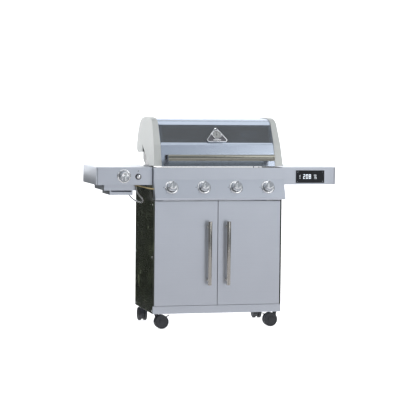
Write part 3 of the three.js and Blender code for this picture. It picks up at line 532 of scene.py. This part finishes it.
# %% The hood handle
def hood_handle():
    low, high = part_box("hood_handle")
    depth, height = 24 * MM, high.z - low.z
    centre = Vector((0, low.y + depth / 2, (low.z + high.z) / 2))
    radius = depth / 2
    oval = [(x, y + height / 2 - radius) for x, y in arc(0, 0, radius, 0, 180)]
    oval += [(x, y - height / 2 + radius) for x, y in arc(0, 0, radius, 180, 360)]
    shape = bmesh.new()
    across = Matrix(((0, 0, 1, low.x), (1, 0, 0, centre.y), (0, 1, 0, centre.z), (0, 0, 0, 1)))
    extruded_outline(shape, oval, high.x - low.x, across)
    finish_piece("hood_handle_bar", shape, HANDLE, "hood", ("hood_handle",), 1.0 * MM, 3)
    arms = bmesh.new()
    for side in (-1, 1):
        foot = 290 * MM * side
        block(arms, (foot - 8 * MM, centre.y, 944 * MM), (foot + 8 * MM, -177 * MM, 964 * MM))
        block(arms, (foot - 14 * MM, -186 * MM, 938 * MM), (foot + 14 * MM, -177 * MM, 969 * MM))
    finish_piece("hood_handle_arms", arms, GUNMETAL, "hood", (), 2.0 * MM, 3)


hood_handle()

# %% [markdown]
# ## Knobs
# A knob is a short turned drum with a raised grip bar across its face. Behind it a wide polished bezel
# sits on the panel. Each is modelled once, along Z, and placed with a matrix that points out of its panel.

# %% Knobs, bezels and marks
KNOB_SPACING = 184 * MM
PANEL_OUT = Vector((0, -math.cos(math.atan2(41, 98)), math.sin(math.atan2(41, 98))))
PANEL_SPOT = Vector((0, -0.208 - 0.041 * math.tan(math.atan2(41, 98)), 0.790))
BEZEL = [(28.5, 0.2), (38.5, 0.2), (38.5, 2.0), (37.0, 4.4), (33.5, 5.8), (30.0, 5.8),
         (28.5, 4.5), (28.5, 0.2)]
DRUM = [(0, 8), (25.6, 8), (26, 8.6), (26, 12), (25, 14), (24.2, 15), (23.2, 35), (22.4, 37.4), (20.6, 38.6),
        (18, 38.2), (0, 38.2)]


def scaled(profile):
    return [(radius * MM, height * MM) for radius, height in profile]


def knob(name, node, place, turning_body):
    drum = bmesh.new()
    turn_profile(drum, scaled(DRUM), place)
    finish_piece(f"{name}_drum", drum, POLISHED, turning_body, (node,), smooth=40)
    grip = bmesh.new()
    waist = [(-5.2, -21.5), (5.2, -21.5), (6.2, -12), (5.2, 0), (6.2, 12), (5.2, 21.5), (-5.2, 21.5),
             (-6.2, 12), (-5.2, 0), (-6.2, -12)]
    extruded_outline(grip, scaled(waist), 10 * MM, place @ Matrix.Translation((0, 0, 37.4 * MM)))
    finish_piece(f"{name}_grip", grip, POLISHED, turning_body, (), 1.6 * MM, 3)
    line = bmesh.new()
    block(line, (-0.9 * MM, 9 * MM, 46.8 * MM), (0.9 * MM, 19 * MM, 47.7 * MM))
    bmesh.ops.transform(line, matrix=place, verts=line.verts)
    finish_piece(f"{name}_pointer", line, INK, turning_body)


def bezel(name, place):
    ring = bmesh.new()
    turn_profile(ring, scaled(BEZEL), place, 64)
    finish_piece(f"{name}_bezel", ring, POLISHED, "cart", smooth=50)


def marks(name, place, radius=46.0):
    """Small printed signs beside a knob: a flame dot above, bars for low and high at the left."""
    ink = bmesh.new()
    for angle, wide, tall in ((90, 2.0, 4.2), (180, 4.6, 1.6), (180, 1.6, 4.6), (225, 4.6, 1.6)):
        x, y = radius * math.cos(math.radians(angle)), radius * math.sin(math.radians(angle))
        block(ink, ((x - wide / 2) * MM, (y - tall / 2) * MM, 0.05 * MM),
              ((x + wide / 2) * MM, (y + tall / 2) * MM, 0.25 * MM))
    bmesh.ops.transform(ink, matrix=place, verts=ink.verts)
    finish_piece(f"{name}_marks", ink, INK, "cart")


for number in range(1, 5):
    spot = PANEL_SPOT + Vector(((number - 2.5) * KNOB_SPACING, 0, 0))
    place = look_along(spot, PANEL_OUT)
    knob(f"burner_knob_{number}", f"burner_knob_{number}", place, f"knob_{number}")
    bezel(f"burner_{number}", place)
    marks(f"burner_{number}", place)
SIDE_SPOT = Vector((-0.535, -0.180, 0.850))
side_place = look_along(SIDE_SPOT, (0, -1, 0))
knob("side_knob", "side_burner_knob", side_place, "side_knob")
bezel("side_burner", side_place)

# %% The igniter button
def igniter():
    place = look_along((-0.455, -0.180, 0.847), (0, -1, 0))
    cap = bmesh.new()
    turn_profile(cap, scaled([(0, -14), (7.8, -14), (7.8, 3), (11.5, 3), (11.5, 9), (10.6, 11.5), (8, 12.8),
                              (0, 13)]), place, 40)
    finish_piece("igniter_cap", cap, POLISHED, "igniter", ("igniter_button",), smooth=40)
    ring = bmesh.new()
    turn_profile(ring, scaled([(12.3, 0.2), (16.5, 0.2), (16.5, 3), (15.2, 6), (12.9, 6), (12.3, 5),
                               (12.3, 0.2)]), place, 48)
    finish_piece("igniter_bezel", ring, PLASTIC, "cart", smooth=50)
    spark = bmesh.new()
    bolt = [(0, 26), (-4, 32), (-0.8, 32), (-2.2, 38), (3.2, 31), (0.4, 31)]
    extruded_outline(spark, scaled(bolt[::-1]), 0.25 * MM, place @ Matrix.Translation((0, 0, 0.05 * MM)))
    finish_piece("igniter_mark", spark, INK, "cart")


igniter()
print("knobs, bezels and the igniter are on")

# %% [markdown]
# ## The thermometer
# The hood's thermometer is a rounded triangular plate with a bright raised rim, and a round dial at its
# middle. The plate is an outline inset and stepped down, so the rim is real metal and not a painted line.

# %% The thermometer badge
GLASS_LOW, GLASS_HIGH = Vector((0, -0.156, 1.022)), Vector((0, -0.088, 1.140))
GLASS_UP = (GLASS_HIGH - GLASS_LOW).normalized()
GLASS_OUT = Vector((0, -GLASS_UP.z, GLASS_UP.y))
BADGE_SPOT = GLASS_LOW.lerp(GLASS_HIGH, 0.42)
badge_place = look_along(BADGE_SPOT, GLASS_OUT, GLASS_UP)


def rounded_triangle(grow):
    corners = [(-46, -30), (46, -30), (0, 33)]
    radius = 12 - grow
    return [point for index, (x, y) in enumerate(corners)
            for point in arc(x * MM, y * MM, radius * MM, -210 + index * 120, -90 + index * 120, 8)]


def thermometer():
    rim = bmesh.new()
    extruded_outline(rim, rounded_triangle(0), 9 * MM, badge_place @ Matrix.Translation((0, 0, 3 * MM)))
    front = max(rim.faces, key=lambda face: face.normal.dot(GLASS_OUT) * face.calc_area())
    bmesh.ops.inset_region(rim, faces=[front], thickness=4.5 * MM, use_even_offset=True)
    bmesh.ops.translate(rim, vec=-GLASS_OUT * 2.2 * MM, verts=front.verts)
    finish_piece("thermometer_plate", rim, POLISHED, "hood", ("thermometer_badge",),
                 0.8 * MM, 3)
    field = bmesh.new()
    extruded_outline(field, rounded_triangle(5.2), 0.8 * MM,
                     badge_place @ Matrix.Translation((0, 0, 10 * MM)))
    finish_piece("thermometer_field", field, GUNMETAL, "hood")
    ring = bmesh.new()
    turn_profile(ring, scaled([(21, 10), (27.5, 10), (27.5, 15), (26, 18), (23.5, 18.4), (21.8, 16.5),
                               (21, 14),
                               (21, 10)]), badge_place, 64)
    finish_piece("thermometer_ring", ring, POLISHED, "hood", smooth=50)
    face = bmesh.new()
    turn_profile(face, scaled([(0, 11), (21.2, 11), (21.2, 12.6), (0, 12.6)]), badge_place, 48)
    finish_piece("thermometer_face", face, DIAL_WHITE, "hood")
    ticks = bmesh.new()
    for index in range(17):
        turn = Matrix.Rotation(math.radians(-120 + index * 15), 4, "Z")
        length = 4.0 if index % 4 == 0 else 2.2
        tick = bmesh.new()
        block(tick, (-0.35 * MM, (19.5 - length) * MM, 12.6 * MM), (0.35 * MM, 19.5 * MM, 12.8 * MM))
        bmesh.ops.transform(tick, matrix=badge_place @ turn, verts=tick.verts)
        scratch = bpy.data.meshes.new("tick")
        tick.to_mesh(scratch)
        tick.free()
        ticks.from_mesh(scratch)
        bpy.data.meshes.remove(scratch)
    finish_piece("thermometer_scale", ticks, INK, "hood")
    hand = bmesh.new()
    extruded_outline(hand, scaled([(-1.2, -6), (1.2, -6), (0.4, 16), (-0.4, 16)]), 0.7 * MM,
                     badge_place @ Matrix.Translation((0, 0, 13.6 * MM)))
    turn_profile(hand, scaled([(0, 12.7), (2.4, 12.7), (2.4, 14.8), (0, 15.2)]), badge_place, 24)
    finish_piece("thermometer_hand", hand, INK, "needle", ("thermometer_needle",))
    lens = bmesh.new()
    turn_profile(lens, scaled([(0, 16.2), (21.6, 16.2), (21.6, 17.0), (12, 17.9), (0, 18.2)]),
                 badge_place, 48)
    finish_piece("thermometer_lens", lens, CLEAR, "hood", smooth=60)
    bar = bmesh.new()
    block(bar, (-22 * MM, -33 * MM, 10.8 * MM), (22 * MM, -28 * MM, 11.6 * MM))
    bmesh.ops.transform(bar, matrix=badge_place, verts=bar.verts)
    finish_piece("thermometer_bar", bar, POLISHED, "hood", (), 0.4 * MM)


thermometer()

# %% [markdown]
# ## Castors
# Each castor has two wheels, one on each side of a thin housing. A wheel is one turned profile: a rounded
# tread, a shallow dished side and a hub cap. The housing stays as designed, with rounded edges.

# %% Twin wheels
CASTORS = {"front_left": (-343, -160, 0), "front_right": (343, -160, 180),
           "rear_left": (-343, 238, -90), "rear_right": (343, 238, -90)}
TRAIL, WHEEL = 28, 39
WHEEL_SIDE = [(5, 7), (33, 7), (36.5, 7.6), (38.4, 9), (39, 11), (39, 20), (38.2, 22.3), (36.4, 23.7),
              (34, 24),
              (32.6, 23.2), (31.6, 21.8), (16, 20.4), (14.6, 21), (13.8, 23), (10, 24), (0, 24.2)]


def castor_wheels(corner):
    x, y, turn = CASTORS[corner]
    heading = Matrix.Translation((x * MM, y * MM, 0)) @ Matrix.Rotation(math.radians(turn), 4, "Z")
    hub = heading @ Matrix.Translation((TRAIL * MM, 0, WHEEL * MM))
    tread = bmesh.new()
    for side in (1, -1):
        place = hub @ Matrix.Rotation(math.radians(-90 * side), 4, "X")
        turn_profile(tread, scaled([(0, 7)] + WHEEL_SIDE[:1] + WHEEL_SIDE[1:]), place, 56)
    turn_profile(tread, scaled([(0, -8), (5, -8), (5, 8), (0, 8)]),
                 hub @ Matrix.Rotation(math.pi / 2, 4, "X"), 24)
    finish_piece(f"castor_wheels_{corner}", tread, TYRE, f"wheels_{corner}",
                 (f"caster_wheels_{corner}",), smooth=32)
    ribs = bmesh.new()
    for side in (1, -1):
        for index in range(6):
            place = hub @ Matrix.Rotation(math.radians(60 * index), 4, "Y")
            rib = bmesh.new()
            block(rib, (16 * MM, side * 20.2 * MM - 1.2 * MM, -1.6 * MM),
                  (31 * MM, side * 20.2 * MM + 1.6 * MM, 1.6 * MM))
            bmesh.ops.transform(rib, matrix=place, verts=rib.verts)
            scratch = bpy.data.meshes.new("rib")
            rib.to_mesh(scratch)
            rib.free()
            ribs.from_mesh(scratch)
            bpy.data.meshes.remove(scratch)
    finish_piece(f"castor_ribs_{corner}", ribs, PLASTIC, f"wheels_{corner}", (), 0.5 * MM)


for corner in CASTORS:
    castor_wheels(corner)

# %% [markdown]
# ## The touch display
# A sheet of black glass carries a lit seven-segment reading, a few small lines and a touch mark at each
# corner. Segments are thin bars, laid out from a table of which ones each figure lights.

# %% The touch display
FIGURES = {"0": "abcdef", "1": "bc", "2": "abged", "5": "afgcd", "8": "abcdefg"}


def segment_bars(figure, left, base, wide, tall, thick):
    half = tall / 2
    spans = {"a": (0, tall - thick, wide, tall), "d": (0, 0, wide, thick),
             "g": (0, half - thick / 2, wide, half + thick / 2), "f": (0, half, thick, tall),
             "e": (0, 0, thick, half), "b": (wide - thick, half, wide, tall),
             "c": (wide - thick, 0, wide, half)}
    return [(left + x0, base + z0, left + x1, base + z1)
            for name, (x0, z0, x1, z1) in spans.items() if name in FIGURES[figure]]


def display():
    low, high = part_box("display_panel")
    pane = welded_copy("display_panel")
    finish_piece("display_pane", pane, DISPLAY_BLACK, "cart", ("display_panel",), 1.2 * MM, 3)
    left, base = low.x / MM + 42, low.z / MM + 24
    bars = []
    for index, figure in enumerate("208"):
        bars += segment_bars(figure, left + index * 17, base, 11, 24, 2.2)
    for index, figure in enumerate("15"):
        bars += segment_bars(figure, left + 62 + index * 10, base, 6, 14, 1.3)
    bars += [(left + 62, base + 19, left + 78, base + 21), (left - 22, base + 18, left - 17, base + 20),
             (left - 22, base + 10, left - 17, base + 12), (left - 22, base + 2, left - 17, base + 4)]
    for x in (low.x / MM + 9, high.x / MM - 12):
        for z in (low.z / MM + 8, high.z / MM - 11):
            bars.append((x, z, x + 1.6, z + 1.6))
    lit = bmesh.new()
    front = low.y / MM
    for x0, z0, x1, z1 in bars:
        block(lit, (x0 * MM, (front - 0.25) * MM, z0 * MM), (x1 * MM, (front + 0.1) * MM, z1 * MM))
    finish_piece("display_figures", lit, DIGITS, "cart")


display()

# %% [markdown]
# ## Small trim
# Screws, door hinges and the hood's glass beads are small, but they give the eye a
# sense of size. A screw is one low turned dome, repeated wherever one is needed.

# %% Screws
DOME = [(0, -1.0), (4.4, -1.0), (4.4, 0.4), (3.6, 1.8), (2.0, 2.5), (0, 2.7)]


def screws(name, places, body, material=POLISHED):
    heads = bmesh.new()
    for spot, ahead in places:
        turn_profile(heads, scaled(DOME), look_along([v * MM for v in spot], ahead, (0, 0.01, 1)), 16)
    finish_piece(name, heads, material, body, smooth=60)
    return len(places)


count = 0
for side, sign in (("left", -1), ("right", 1)):
    edge = sign * 370
    count += screws(f"side_screws_{side}", [((edge, y, z), (sign, 0, 0)) for y in (-165, 258)
                                             for z in (100, 400, 690)],
                    "cart")
    count += screws(f"door_screws_{side}", [((sign * 54, -168.2, z), (0, 1, 0)) for z in (273, 570)],
                    f"door_{side}")
    count += screws(f"cap_screws_{side}", [((sign * 366.5, y, z), (sign, 0, 0)) for y, z in ((-150, 935),)],
                    "hood")
count += screws("back_screws", [((x, 277.5, z), (0, 1, 0)) for x in (-345, 0, 345) for z in (145, 660)],
                "cart")
print("screws:", count)


# %% Door hinges and hood trim
def pins(name, spots, radius, low, high, body, material=POLISHED):
    shape = bmesh.new()
    for x, y in spots:
        profile = [(0, low), (radius, low), (radius, high), (0, high)]
        turn_profile(shape, scaled(profile), Matrix.Translation((x * MM, y * MM, 0)), 20)
    finish_piece(name, shape, material, body)


for side, sign in (("left", -1), ("right", 1)):
    pins(f"door_pin_low_{side}", [(sign * 358.5, -176)], 2.6, 127.5, 129.6, "cart")
    pins(f"door_pin_high_{side}", [(sign * 358.5, -176)], 2.6, 710.4, 712.6, "cart")


def glass_bead(name, place, size):
    """A thin bright strip along an edge of the window, lying on the glass."""
    strip = bmesh.new()
    low = Vector((-0.3225, place.y, place.z))
    for vert in bmesh.ops.create_cube(strip, size=1.0)["verts"]:
        vert.co = low + Vector(((vert.co.x + 0.5) * 0.645, 0, 0)) + GLASS_UP * vert.co.y * size \
            + GLASS_OUT * (vert.co.z + 0.5) * 1.4 * MM
    finish_piece(name, strip, STEEL_HOOD, "hood", (), 0.5 * MM)


glass_bead("window_bead_low", GLASS_LOW.lerp(GLASS_HIGH, 0.075), 8 * MM)
glass_bead("window_bead_high", GLASS_LOW.lerp(GLASS_HIGH, 0.95), 4 * MM)

# %% [markdown]
# ## The studio
# A pale floor that curves up into a pale wall, a wide soft light above and two in front. Cards that the
# camera can't see stand in the reflections: grey paving in front, dark hedge behind the left side, and a
# dark flag at each side that gives the round handles and knobs their dark edges.

# %% The studio
def plain_material(name, color, rough=0.6, glow=0.0):
    material = bpy.data.materials.new(name)
    material.use_nodes = True
    shader = material.node_tree.nodes["Principled BSDF"]
    shader.inputs["Base Color"].default_value = (*color, 1)
    shader.inputs["Roughness"].default_value = rough
    shader.inputs["Emission Color"].default_value = (*color, 1)
    shader.inputs["Emission Strength"].default_value = glow
    return material


def sweep_floor():
    shape = bmesh.new()
    profile = [(0.0, -14.0, 0.0), (0.0, 9.0, 0.0)]
    profile += [(0.0, 9.0 + 3 * math.sin(a), 3 - 3 * math.cos(a)) for a in
                [math.radians(9 * step) for step in range(1, 11)]] + [(0.0, 12.0, 14.0)]
    verts = [shape.verts.new(point) for point in profile]
    edges = [shape.edges.new(pair) for pair in zip(verts, verts[1:])]
    made = bmesh.ops.extrude_edge_only(shape, edges=edges)
    moved = [item for item in made["geom"] if isinstance(item, bmesh.types.BMVert)]
    bmesh.ops.translate(shape, vec=(60, 0, 0), verts=moved)
    bmesh.ops.translate(shape, vec=(-30, 0, 0), verts=shape.verts)
    return shape


def stage_piece(name, shape, material, seen=True):
    mesh = bpy.data.meshes.new(name)
    shape.to_mesh(mesh)
    shape.free()
    mesh.shade_smooth()
    mesh.materials.append(material)
    piece = bpy.data.objects.new(name, mesh)
    bpy.context.scene.collection.objects.link(piece)
    piece.visible_camera = seen
    if not seen:
        piece.visible_shadow = False
        piece.visible_diffuse = False


def card(name, centre, size, turn, color, glow):
    shape = bmesh.new()
    turned = Matrix.Rotation(turn[1], 4, turn[0])
    place = Matrix.Translation(centre) @ turned @ Matrix.Diagonal((*size, 1.0, 1.0))
    bmesh.ops.create_grid(shape, x_segments=1, y_segments=1, size=0.5, matrix=place)
    stage_piece(name, shape, plain_material(f"{name}_paint", color, 0.8, glow), seen=False)


stage_piece("studio_floor", sweep_floor(), plain_material("pale_floor", (0.9, 0.9, 0.9), 0.7, 0.88))
card("paving_reflection", (0, -3.2, 0.004), (9.0, 5.6), ("X", 0.0), (0.42, 0.41, 0.41), 0.75)
card("hedge_reflection", (-1.7, 1.4, 0.40), (2.56, 0.80), ("X", math.pi / 2), (0.004, 0.006, 0.002), 0.0)
card("hedge_foot_reflection", (-1.7, 0.7, 0.003), (2.56, 1.9), ("X", 0.0), (0.004, 0.006, 0.002), 0.0)
for side in (-1, 1):
    card(f"dark_flag_{side + 1}", (side * 3.0, -2.0, 1.1), (2.2, 3.0), ("Y", math.pi / 2),
         (0.05, 0.05, 0.045), 0.1)

world = bpy.data.worlds.new("studio")
world.use_nodes = True
world.node_tree.nodes["Background"].inputs["Color"].default_value = (0.86, 0.92, 1.0, 1)
world.node_tree.nodes["Background"].inputs["Strength"].default_value = 0.42
bpy.context.scene.world = world
bpy.context.scene.view_settings.view_transform = "Standard"


def softbox(name, place, aim, size, watts):
    lamp = bpy.data.lights.new(name, "AREA")
    lamp.shape = "RECTANGLE"
    lamp.size, lamp.size_y = size
    lamp.energy = watts
    light = bpy.data.objects.new(name, lamp)
    light.matrix_world = look_along(place, Vector(place) - Vector(aim))
    bpy.context.scene.collection.objects.link(light)


softbox("overhead_softbox", (0.3, -0.6, 4.2), (0, 0, 0.6), (6.0, 4.6), 62)
softbox("front_softbox", (2.6, -4.6, 2.6), (0, 0, 0.7), (2.6, 2.2), 45)
softbox("side_softbox", (-4.2, -2.4, 2.4), (0, 0, 0.9), (1.6, 2.4), 20)
